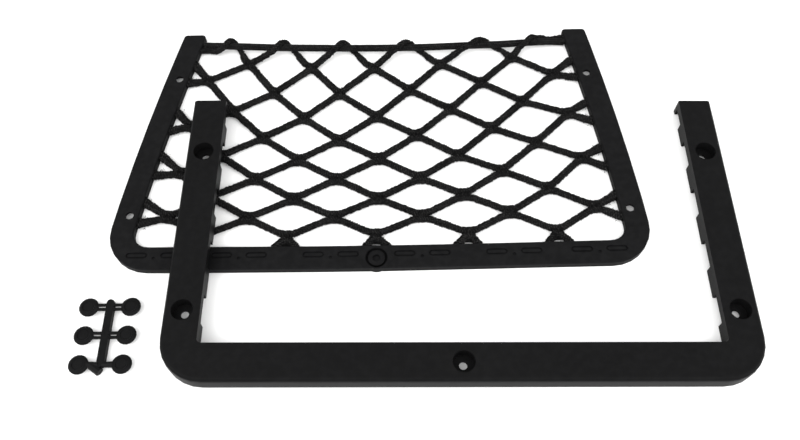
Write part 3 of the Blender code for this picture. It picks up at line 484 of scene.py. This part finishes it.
def leg_ends():
    """Every leg that the net sends into the frame: knot, place, way in, and pull."""
    legs = []
    for k in range(SHORT_ROW):
        for side in (-1, 1):
            x = MIDDLE + (k - (SHORT_ROW - 1) / 2) * FOOT_PITCH + side * FOOT_SPREAD
            legs.append({"knot": (0, k), "side": side, "place": Vector((x, rail_y(x, RAIL_WIDTH))),
                         "in": Vector((0, -1)), "tug": FOOT_TUG, "half": FOOT_HALF})
    for loop in LOOPS:
        for side, knot in ((-1, 0), (1, LONG_ROW - 1)):
            lean = ARMS[side]["lean"]
            for way in (-1, 1):
                y = loop["left" if side < 0 else "right"] + way * LOOP_SPREAD
                legs.append({"knot": (loop["row"], knot), "side": way,
                             "place": Vector((arm_x(side, y, ARM_WIDTH), y)),
                             "in": Vector((side * math.cos(lean), math.sin(lean))),
                             "tug": loop["tug"], "half": LEG_HALF})
    return legs


def settle_knots():
    """Where each knot comes to rest between its strands, its legs and the top cord."""
    knots = [(row, k) for row in range(ROWS) for k in range(row_size(row))]
    number = {knot: n for n, knot in enumerate(knots)}
    places = np.array([
        ((k - (row_size(row) - 1) / 2) * START_PITCH, START_FIRST + START_RISE * row) for row, k in knots
    ])
    pairs, lengths = [], []
    for row in range(ROWS - 1):
        side = STRAND * (1 + STRAND_GROWTH * (row - (ROWS - 2) / 2))
        for k in range(row_size(row)):
            for upper in above(row, k):
                if (row + 1, upper) in number:
                    pairs.append((number[row, k], number[row + 1, upper]))
                    lengths.append(side)
    pairs, lengths = np.array(pairs), np.array(lengths)

    hung = []
    for k, bight in enumerate(BIGHTS):
        for upper, length in ((k - 1, bight["left"]), (k, bight["right"])):
            if length is not None:
                hung.append((number[ROWS - 1, upper], bight["x"], bight["hold"], length))
    hung_knots = np.array([row[0] for row in hung])
    hung_places = np.array([row[1:3] for row in hung])
    hung_lengths = np.array([row[3] for row in hung])

    legs = leg_ends()
    leg_knots = np.array([number[leg["knot"]] for leg in legs])
    leg_places = np.array([tuple(leg["place"]) for leg in legs])
    leg_tugs = np.array([leg["tug"] for leg in legs])

    speed = np.zeros_like(places)
    for _ in range(SETTLE_ROUNDS):
        pull = np.zeros_like(places)
        span = places[pairs[:, 1]] - places[pairs[:, 0]]
        size = np.linalg.norm(span, axis=1)
        force = span * ((size - lengths) / size)[:, None]
        np.add.at(pull, pairs[:, 0], force)
        np.add.at(pull, pairs[:, 1], -force)
        span = hung_places - places[hung_knots]
        size = np.linalg.norm(span, axis=1)
        np.add.at(pull, hung_knots, span * ((size - hung_lengths) / size)[:, None])
        span = leg_places - places[leg_knots]
        size = np.linalg.norm(span, axis=1)
        np.add.at(pull, leg_knots, span * (leg_tugs / size)[:, None])
        speed = SETTLE_KEEP * speed + SETTLE_PULL * pull
        places = places + speed
    for stray in STRAYS:
        places[number[stray["row"], stray["knot"]]] += (stray["right"], stray["up"])
    return {knot: Vector(places[n]) for knot, n in number.items()}


def net_home():
    """Where the net frame's own origin lies in the layout."""
    x = cord_ends()[-1].x - CORD_SOCKET + GAP
    return Vector((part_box("top_cord")[0].x - x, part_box("net_frame")[0].y + BOSS_COLLAR - BOSS_Y, 0.0))


# ------------------------------------------------------------------ routes of the cords

def smooth_route(places, spacing):
    """Points at an even spacing on a smooth curve through the given ones."""
    ends = [places[0] * 2 - places[1], *places, places[-1] * 2 - places[-2]]
    route = []
    for a, b, c, d in zip(ends, ends[1:], ends[2:], ends[3:]):
        steps = max(1, round((c - b).length / spacing))
        for k in range(steps):
            t = k / steps
            route.append(((b * 2) + (c - a) * t + (a * 2 - b * 5 + c * 4 - d) * t * t
                          + (b * 3 - a - c * 3 + d) * t ** 3) / 2)
    return [*route, places[-1]]


def bent_route(corners, spacing):
    """Points along straight runs between corners, each corner rounded by a bend."""
    route = [corners[0]]
    for before, corner, after in zip(corners, corners[1:], corners[2:]):
        first, second = (before - corner).normalized(), (after - corner).normalized()
        half = first.angle(second) / 2
        room = BEND_SHARE * min((before - corner).length, (after - corner).length)
        reach = min(BEND_CUT / (1 / math.sin(half) - 1) / math.tan(half), room)
        radius = reach * math.tan(half)
        centre = corner + (first + second).normalized() * radius / math.sin(half)
        start, end = corner + first * reach - centre, corner + second * reach - centre
        steps = max(2, math.ceil(start.angle(end) * radius / spacing))
        for k in range(steps + 1):
            spot = start.lerp(end, k / steps)
            route.append(centre + spot.normalized() * radius)
    route.append(corners[-1])
    return route


def spaced(route, spacing):
    """The same line with its points evenly spaced, as an array."""
    line = np.array([tuple(place) for place in route])
    along = np.concatenate([[0.0], np.cumsum(np.linalg.norm(np.diff(line, axis=0), axis=1))])
    keep = np.concatenate([[True], np.diff(along) > 1e-7])
    line, along = line[keep], along[keep]
    at = np.linspace(0.0, along[-1], max(2, round(along[-1] / spacing) + 1))
    return np.stack([np.interp(at, along, line[:, axis]) for axis in range(3)], axis=1)


def softened(values, reach):
    """A line of points with its small kinks ironed out."""
    kernel = np.hanning(2 * reach + 3)[1:-1]
    kernel /= kernel.sum()
    start, end = np.repeat(values[:1], reach, axis=0), np.repeat(values[-1:], reach, axis=0)
    padded = np.concatenate([start, values, end])
    columns = [np.convolve(column, kernel, "valid") for column in padded.T]
    return np.stack(columns, axis=1)


def corner_in_knot(knot, way):
    """A cord's corner in a knot, drawn a little up or down out of its middle."""
    return Vector((knot.x, knot.y + way * KNOT_APART, NET_LEVEL))


def beside_cord(k, table):
    """Places near the top cord, given along, across and above it from the middle of a bight."""
    wide = BIGHTS[k]["wide"] if table is BIGHT_TURN else 1.0
    places = []
    for step in table:
        x = BIGHTS[k]["turn"] + step["along"] * wide
        places.append(Vector((x, cord_y(x) + step["across"], CORD_LEVEL + step["rise"])))
    return places


def leg_route(leg):
    """A leg from just inside its pocket to its mouth."""
    tip = leg["place"] + leg["in"] * (POCKET_DEPTH - 2 * GAP)
    return [Vector((*tip, NET_LEVEL)), Vector((*(leg["place"] - leg["in"] * GAP), NET_LEVEL))]


def zigzag(row, knots, legs):
    """The cord that runs across the net between two rows of knots, from arm to arm."""
    lower, upper = row_size(row), row_size(row + 1)
    corners = []
    wide_below = lower > upper
    for k in range(max(lower, upper)):
        if wide_below:
            corners.append(corner_in_knot(knots[row, k], 1))
            if k < upper:
                corners.append(corner_in_knot(knots[row + 1, k], -1))
        else:
            corners.append(corner_in_knot(knots[row + 1, k], -1))
            if k < lower:
                corners.append(corner_in_knot(knots[row, k], 1))
    edge_row = row if wide_below else row + 1
    way = 1 if wide_below else -1
    first = next(leg for leg in legs if leg["knot"] == (edge_row, 0) and leg["side"] == way)
    last = next(leg for leg in legs if leg["knot"] == (edge_row, LONG_ROW - 1) and leg["side"] == way)
    return [*leg_route(first), *corners, *reversed(leg_route(last))]


def foot_loop(k, knots, legs):
    """The short loop that ties a knot of the first row to the rail."""
    left, right = (next(leg for leg in legs if leg["knot"] == (0, k) and leg["side"] == side)
                   for side in (-1, 1))
    return [*leg_route(left), corner_in_knot(knots[0, k], -1), *reversed(leg_route(right))]


def top_zigzag(knots):
    """The net's last cord: out of the left arm, round the top cord six times with a knot between,
    and into the right arm."""
    route = []
    for k in range(len(BIGHTS)):
        turn = [place - Vector((0, SNUG, 0)) if place.y > cord_y(place.x) else place
                for place in beside_cord(k, BIGHT_TURN)]
        if k == 0:
            turn = [*beside_cord(k, LEFT_END), *turn[1:]]
        if k == len(BIGHTS) - 1:
            return [*route, *turn[:len(BIGHT_TURN) // 2 + 1], *beside_cord(k, RIGHT_END)]
        knot = corner_in_knot(knots[ROWS - 1, k], 1)
        way = turn[-1] - knot
        sag = knot + way * SAG_PLACE + Vector((-way.y, -abs(way.x), 0.0)) * SAG_SHARE
        after = beside_cord(k + 1, BIGHT_TURN)[0]
        route += [*turn, *bent_route([sag, knot, after], BIGHT_SPACING)[:-1]]
    return route


def top_cord_route():
    """The elastic cord across the open top, from socket to socket."""
    left, right = cord_ends()[-1], cord_ends()[1]
    into, neck = Vector((CORD_SOCKET - GAP, 0, 0)), Vector((CORD_NECK, 0, 0))
    places = [left + neck, *(Vector(place) for place in CORD_LINE), right - neck]
    middle = smooth_route(places, CORD_SPACING)
    return [left - into, left, *middle, right, right + into]


# ------------------------------------------------------------------ braided cords

def squeeze_near(line, knots):
    """How much each point of a line is squeezed by the knot next to it, from 0 to 1."""
    spots = np.array([tuple(place) for place in knots.values()])
    away = np.linalg.norm(line[:, None, :2] - spots[None], axis=2).min(axis=1)
    near = np.clip(1 - away / KNOT_REACH, 0, 1)
    return near * near * (3 - 2 * near)


def braid_rings(line, half, thick, seed, yarn_relief=YARN_RELIEF, uneven_by=YARN_UNEVEN):
    """Rings of points round a line, raised into over-and-under yarns, and what the finish draws."""
    steps = np.gradient(line, axis=0)
    tangent = steps / np.linalg.norm(steps, axis=1)[:, None]
    side = np.cross([0.0, 0.0, 1.0], tangent)
    side /= np.linalg.norm(side, axis=1)[:, None]
    up = np.cross(tangent, side)
    along = np.concatenate([[0.0], np.cumsum(np.linalg.norm(np.diff(line, axis=0), axis=1))])

    draw = np.random.default_rng(seed)
    angle = np.linspace(0, 2 * np.pi, SIDES, endpoint=False)
    phase = draw.random() * 2
    turn = YARNS * angle[None] / (2 * np.pi)
    way = along[:, None] / YARN_LAY
    right_hand, left_hand = turn + way + phase, turn - way + phase
    # Where the two families of yarns cross, one passes over and the other under, by turns.
    over = np.cos(np.pi * (np.floor(right_hand) + np.floor(left_hand)))
    bump_right = np.abs(np.sin(np.pi * (right_hand % 1.0)))
    bump_left = np.abs(np.sin(np.pi * (left_hand % 1.0)))
    crown = np.where(over > 0, bump_right * (YARN_FLANK + YARN_TOP * bump_left),
                     bump_left * (YARN_FLANK + YARN_TOP * bump_right))
    uneven = softened(draw.normal(0, 1, (len(line), SIDES)), 1)
    uneven += np.roll(uneven, 1, axis=1)
    relief = (crown - YARN_LEVEL) * yarn_relief + uneven / uneven.std() * uneven_by

    cos, sin = np.cos(angle)[None], np.sin(angle)[None]
    width = half[:, None] * cos
    height = thick[:, None] * sin
    out = np.stack([cos / half[:, None], sin / thick[:, None]], axis=-1)
    out /= np.linalg.norm(out, axis=-1, keepdims=True)
    width, height = width + out[..., 0] * relief, height + out[..., 1] * relief
    points = line[:, None] + side[:, None] * width[..., None] + up[:, None] * height[..., None]
    # Where a cord lies on the floor, it is flat underneath.
    points[..., 2] = np.maximum(points[..., 2], 0.0)
    # The finish paints the crown as a highlight on the yarns' tops and as shade in the grooves between
    # them.
    drawn = {
        "crown": crown,
        "along": np.broadcast_to(along[:, None], crown.shape),
        "around": np.broadcast_to(angle[None], crown.shape),
    }
    return points, drawn


def tube_faces(rings, sides, first):
    """Quads between rings, and a fan at each end."""
    k, n = np.meshgrid(np.arange(rings - 1), np.arange(sides), indexing="ij")
    here, after = k * sides + n, k * sides + (n + 1) % sides
    quads = np.stack([here, after, after + sides, here + sides], axis=-1).reshape(-1, 4) + first
    start = tuple(first + sides - 1 - i for i in range(sides))
    end = tuple(first + (rings - 1) * sides + i for i in range(sides))
    return [tuple(quad) for quad in quads.tolist()] + [start, end]


def cord_mesh(name, cords, finish):
    """One mesh of several tubes; each is rings of points and the numbers drawn on them."""
    points, faces, drawn = [], [], {"crown": [], "along": [], "around": []}
    first = 0
    for rings, numbers in cords:
        faces += tube_faces(rings.shape[0], rings.shape[1], first)
        points.append(rings.reshape(-1, 3))
        first += rings.shape[0] * rings.shape[1]
        for key in drawn:
            drawn[key].append(np.asarray(numbers[key]).reshape(-1))
    mesh = bpy.data.meshes.new(name)
    mesh.from_pydata(np.concatenate(points).tolist(), [], faces)
    for key, numbers in drawn.items():
        layer = mesh.attributes.new(key, "FLOAT", "POINT")
        layer.data.foreach_set("value", np.concatenate(numbers).astype(np.float32))
    mesh.shade_smooth()
    mesh.materials.append(finish)
    piece = bpy.data.objects.new(name, mesh)
    bpy.context.scene.collection.objects.link(piece)
    return piece


def strand_half(line):
    """Half the width of a strand, point by point."""
    return STRAND_HALF * (1 + np.interp(line[:, 1], *SLACK))


def net_cord(corners, leg_half, knots, home, seed):
    """A braided cord of the net along its corners, from leg to leg."""
    line = softened(spaced(bent_route(corners, RING_STEP), RING_STEP), NET_SOFTENING)
    squeeze = squeeze_near(line, knots)
    along = np.concatenate([[0.0], np.cumsum(np.linalg.norm(np.diff(line, axis=0), axis=1))])
    from_end = np.minimum(along, along[-1] - along) - POCKET_DEPTH
    strand = strand_half(line)
    grown = (leg_half - strand) * np.clip(1 - from_end / LEG_TAPER, 0, 1)
    half = strand + np.maximum((KNOT_HALF - strand) * squeeze, grown)
    thick = STRAND_THICK + (KNOT_THICK - STRAND_THICK) * squeeze
    return braid_rings(line + np.array(home), half, thick, seed)


def bight_cord(route, knots, home, seed):
    """The net's last cord, squeezed round where it turns about the top cord."""
    line = softened(spaced(smooth_route(route, RING_STEP), RING_STEP), NET_SOFTENING)
    squeeze = squeeze_near(line, knots)
    free = np.clip((cord_y(line[:, 0]) - line[:, 1] - FREE_FROM) / FREE_OVER, 0, 1)
    free = free * free * (3 - 2 * free)
    strand = strand_half(line)
    half = SQUEEZED + (strand - SQUEEZED) * free + (KNOT_HALF - strand) * squeeze
    thick = SQUEEZED + (STRAND_THICK - SQUEEZED) * free + (KNOT_THICK - STRAND_THICK) * squeeze
    return braid_rings(line + np.array(home), half, thick, seed)


def fine_yarn(line, radius, sides, crown):
    """Rings of a thin yarn along a line, closing in at its ends, and what the finish draws."""
    steps = np.gradient(line, axis=0)
    tangent = steps / np.linalg.norm(steps, axis=1)[:, None]
    side = np.cross([0.0, 0.0, 1.0], tangent)
    side /= np.linalg.norm(side, axis=1)[:, None]
    up = np.cross(tangent, side)
    angle = np.linspace(0, 2 * np.pi, sides, endpoint=False)
    at = np.linspace(-1, 1, len(line))
    size = radius * np.sqrt(np.clip(YARN_FULL - at ** 4, YARN_CLOSED, 1))[:, None, None]
    rings = line[:, None] + size * (side[:, None] * np.cos(angle)[None, :, None]
                                    + up[:, None] * np.sin(angle)[None, :, None])
    shape = rings.shape[:2]
    drawn = {
        "crown": np.full(shape, crown),
        "along": np.broadcast_to(at[:, None] * radius * len(line), shape),
        "around": np.broadcast_to(angle[None], shape),
    }
    return rings, drawn


def knot_ties(knot, home, seed):
    """The yarns that bind the two cords of a knot, lying aslant over the groove between them."""
    draw = np.random.default_rng(seed)
    ties = []
    for face in (1, -1):
        for n in range(TIES):
            x = (n - (TIES - 1) / 2) * TIE_PITCH + draw.normal(0, TIE_UNEVEN)
            slant = TIE_SLANT * face * (1 if n % 2 else -1)
            t = np.linspace(-1, 1, TIE_STEPS)
            z = face * (KNOT_THICK + TIE_RADIUS * (TIE_RISE - TIE_DIVE * np.abs(t) ** 3))
            line = np.stack([knot.x + x + slant * t, knot.y + t * TIE_SPAN, NET_LEVEL + z], axis=1)
            ties.append(fine_yarn(line + np.array(home), TIE_RADIUS, TIE_SIDES, TIE_LIGHT))
    return ties


def stray_yarns(leg, home, seed):
    """Loose ends of yarn where a leg's braid frays beside the arm, most of them inside its loop."""
    draw = np.random.default_rng(seed)
    out = np.array([-leg["in"].x, -leg["in"].y, 0.0])
    inward = np.array([0.0, -leg["side"], 0.0])
    mouth = np.array([leg["place"].x, leg["place"].y, NET_LEVEL]) + np.array(home)
    strays = []
    groups = ((inward, FRAYED_IN, FRAYED_IN_LENGTH), (-inward, FRAYED_OUT, FRAYED_OUT_LENGTH))
    for beside, count, longest in groups:
        for _ in range(count):
            start = mouth + out * draw.uniform(*FRAYING["out"])
            start = start + beside * LEG_HALF * draw.uniform(*FRAYING["beside"])
            way = beside * draw.uniform(*FRAYING["spread"]) + out * draw.uniform(*FRAYING["lean"])
            way += np.array([0.0, 0.0, draw.uniform(*FRAYING["rise"])])
            curl = np.cross(way, [0.0, 0.0, 1.0]) * draw.uniform(*FRAYING["curl"])
            t = np.linspace(0, 1, STRAY_STEPS)[:, None]
            line = start + (way * t + curl * t * t) * longest * draw.uniform(*FRAYING["length"])
            line[:, 2] = np.maximum(line[:, 2], STRAY_LOW)
            strays.append(fine_yarn(line, STRAY_RADIUS, STRAY_SIDES, STRAY_LIGHT))
    return strays


def foot_web(k, knots, legs, home, seed):
    """The yarns that fill a loop at the rail."""
    draw = np.random.default_rng(seed)
    left, right = (next(leg for leg in legs if leg["knot"] == (0, k) and leg["side"] == side)
                   for side in (-1, 1))
    web = []
    for n in range(WEB_YARNS):
        steps = n + WEB_FIRST + draw.uniform(-WEB_JITTER, WEB_JITTER, 2)
        shares = WEB_FROM[k] + (WEB_TO - WEB_FROM[k]) * steps / WEB_YARNS
        ends = [leg["place"].lerp(knots[0, k], share) for leg, share in zip((left, right), shares)]
        t = np.linspace(0, 1, WEB_STEPS)[:, None]
        line = np.array(ends[0]) * (1 - t) + np.array(ends[1]) * t
        height = NET_LEVEL + draw.uniform(-WEB_UNEVEN, WEB_UNEVEN) + WEB_ARCH * np.sin(np.pi * t)
        route = np.hstack([line, height]) + np.array(home)
        web.append(fine_yarn(route, WEB_RADIUS, TIE_SIDES, WEB_LIGHT))
    return web


def worn(piece, nodes):
    """A piece of elastic that stands for soft solids of the frame."""
    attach(piece, BODY)
    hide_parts(*nodes)
    return piece


def make_net(finish):
    """The net's cords from rail to top, the ties of its knots and its loose yarns."""
    knots, legs, home = settle_knots(), leg_ends(), net_home()
    lower, upper = [], []
    for k in range(SHORT_ROW):
        loop = foot_loop(k, knots, legs)
        lower.append(net_cord(loop, FOOT_HALF, knots, home, SEEDS["feet"] + k))
    for row in range(ROWS - 1):
        group = lower if row < MAIN_ROWS else upper
        group.append(net_cord(zigzag(row, knots, legs), LEG_HALF, knots, home, SEEDS["rows"] + row))
    upper.append(bight_cord(top_zigzag(knots), knots, home, SEEDS["bights"]))
    fine = []
    for n, knot in enumerate(knots.values()):
        fine += knot_ties(knot, home, SEEDS["ties"] + n)
    for k in range(SHORT_ROW):
        fine += foot_web(k, knots, legs, home, SEEDS["webs"] + k)
    for n, leg in enumerate(legs):
        if leg["half"] == LEG_HALF:
            fine += stray_yarns(leg, home, SEEDS["strays"] + n)
    pieces = {"net_braid": lower, "net_top_braid": upper, "net_fine_yarns": fine}
    made = {name: worn(cord_mesh(name, cords, finish), ["net"]) for name, cords in pieces.items()}


def make_top_cord(finish):
    """The elastic cord across the open top, thinner where it goes into the arms."""
    home = np.array(net_home())
    line = softened(spaced(top_cord_route(), RING_STEP), CORD_SOFTENING)
    ends = cord_ends()
    inside = np.minimum(line[:, 0] - ends[-1].x, ends[1].x - line[:, 0])
    swell = np.clip(inside / CORD_NECK, 0, 1)
    radius = CORD_END_RADIUS + (CORD_RADIUS - CORD_END_RADIUS) * swell - CORD_RELIEF * CORD_THINNED
    line = line + home
    braid = braid_rings(line, radius, radius, SEEDS["top_cord"], CORD_RELIEF, CORD_UNEVEN)
    cord = cord_mesh("top_cord_braid", [braid], finish)
    worn(cord, ["top_cord"])


# ------------------------------------------------------------------ moulded pieces

def moulded(node, name, finish, softening):
    """A moulding on a solid of the frame: its edges softened as a mould leaves them, its flats flat."""
    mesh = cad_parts[node].data.copy()
    mesh.name = name
    shaped = bmesh.new()
    shaped.from_mesh(mesh)
    bmesh.ops.remove_doubles(shaped, verts=shaped.verts, dist=SAME_POINT)
    bmesh.ops.dissolve_limit(shaped, angle_limit=FLAT_ANGLE, verts=shaped.verts, edges=shaped.edges)
    bmesh.ops.recalc_face_normals(shaped, faces=shaped.faces)
    sharp = [edge for edge in shaped.edges
             if len(edge.link_faces) == 2 and edge.calc_face_angle(0.0) > EDGE_ANGLE]
    made = bmesh.ops.bevel(shaped, geom=sharp, offset=softening, segments=3, profile=0.5,
                           affect="EDGES", clamp_overlap=True)
    soft_faces = set(made["faces"])
    layer = shaped.verts.layers.float.new("edge")
    for corner in shaped.verts:
        corner[layer] = 1.0 if all(face in soft_faces for face in corner.link_faces) else 0.0
    shaped.to_mesh(mesh)
    shaped.free()
    mesh.materials.clear()
    mesh.materials.append(finish)
    mesh.shade_smooth()
    mesh.set_sharp_from_angle(angle=SMOOTH_ANGLE)
    piece = bpy.data.objects.new(name, mesh)
    bpy.context.scene.collection.objects.link(piece)
    weighted = piece.modifiers.new("flats", "WEIGHTED_NORMAL")
    weighted.keep_sharp = True
    weighted.weight = FLAT_WEIGHT
    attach(piece, BODY)
    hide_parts(node)


# ------------------------------------------------------------------ floor, light and camera

def make_floor(finish):
    bpy.ops.mesh.primitive_plane_add(size=1.0)
    floor = bpy.context.object
    floor.name = "floor"
    floor.data.transform(Matrix.Diagonal((FLOOR_SIZE, FLOOR_SIZE, 1.0, 1.0)))
    floor.data.transform(Matrix.Translation((0.0, 0.0, -FLOOR_DROP)))
    floor.data.materials.append(finish)


def softbox(name, place, power):
    """A large soft light, aimed at the middle of the layout."""
    light = bpy.data.lights.new(name, "AREA")
    light.shape = "RECTANGLE"
    light.size, light.size_y = LAMP_SIZE
    light.energy = power
    lamp = bpy.data.objects.new(name, light)
    bpy.context.scene.collection.objects.link(lamp)
    lamp.location = place
    lamp.rotation_euler = (-Vector(place)).to_track_quat("-Z", "Y").to_euler()


def make_light():
    world = bpy.data.worlds.new("studio")
    bpy.context.scene.world = world
    world.use_nodes = True
    background = world.node_tree.nodes["Background"]
    background.inputs["Color"].default_value = (1.0, 1.0, 1.0, 1.0)
    background.inputs["Strength"].default_value = DAYLIGHT
    for lamp in LAMPS:
        softbox(**lamp)
    bpy.context.scene.view_settings.view_transform = "Standard"


def make_camera():
    """The camera of the photograph."""
    data = bpy.data.cameras.new("camera")
    data.lens = LENS
    data.sensor_width = SENSOR
    data.clip_start = CLIP_START
    camera = bpy.data.objects.new("camera", data)
    bpy.context.scene.collection.objects.link(camera)
    forward = Vector((0.0, math.cos(CAMERA_DOWN), -math.sin(CAMERA_DOWN)))
    right = Vector((1.0, 0.0, 0.0))
    up = right.cross(forward)
    turn = Matrix.Rotation(CAMERA_TURN, 3, "Z")
    forward, right, up = turn @ forward, turn @ right, turn @ up
    rolled_right = math.cos(CAMERA_ROLL) * right + math.sin(CAMERA_ROLL) * up
    rolled_up = math.cos(CAMERA_ROLL) * up - math.sin(CAMERA_ROLL) * right
    placed = Matrix((rolled_right, rolled_up, -forward)).transposed().to_4x4()
    placed.translation = CAMERA_AT
    camera.matrix_world = placed
    bpy.context.scene.camera = camera


# ------------------------------------------------------------------ the whole layout

make_camera()
make_light()
make_floor(floor_finish())
elastic = braided_elastic("black_elastic_braid")
make_top_cord(elastic)
make_net(elastic)
grained, satin = (moulded_plastic(name, **look) for name, look in PLASTICS.items())
moulded("net_frame", "net_frame_moulding", grained, FRAME_SOFTENING)
moulded("cover_frame", "cover_moulding", satin, COVER_SOFTENING)
moulded("cap_sprue", "cap_sprue_moulding", satin, CAP_SOFTENING)

bpy.context.view_layer.update()
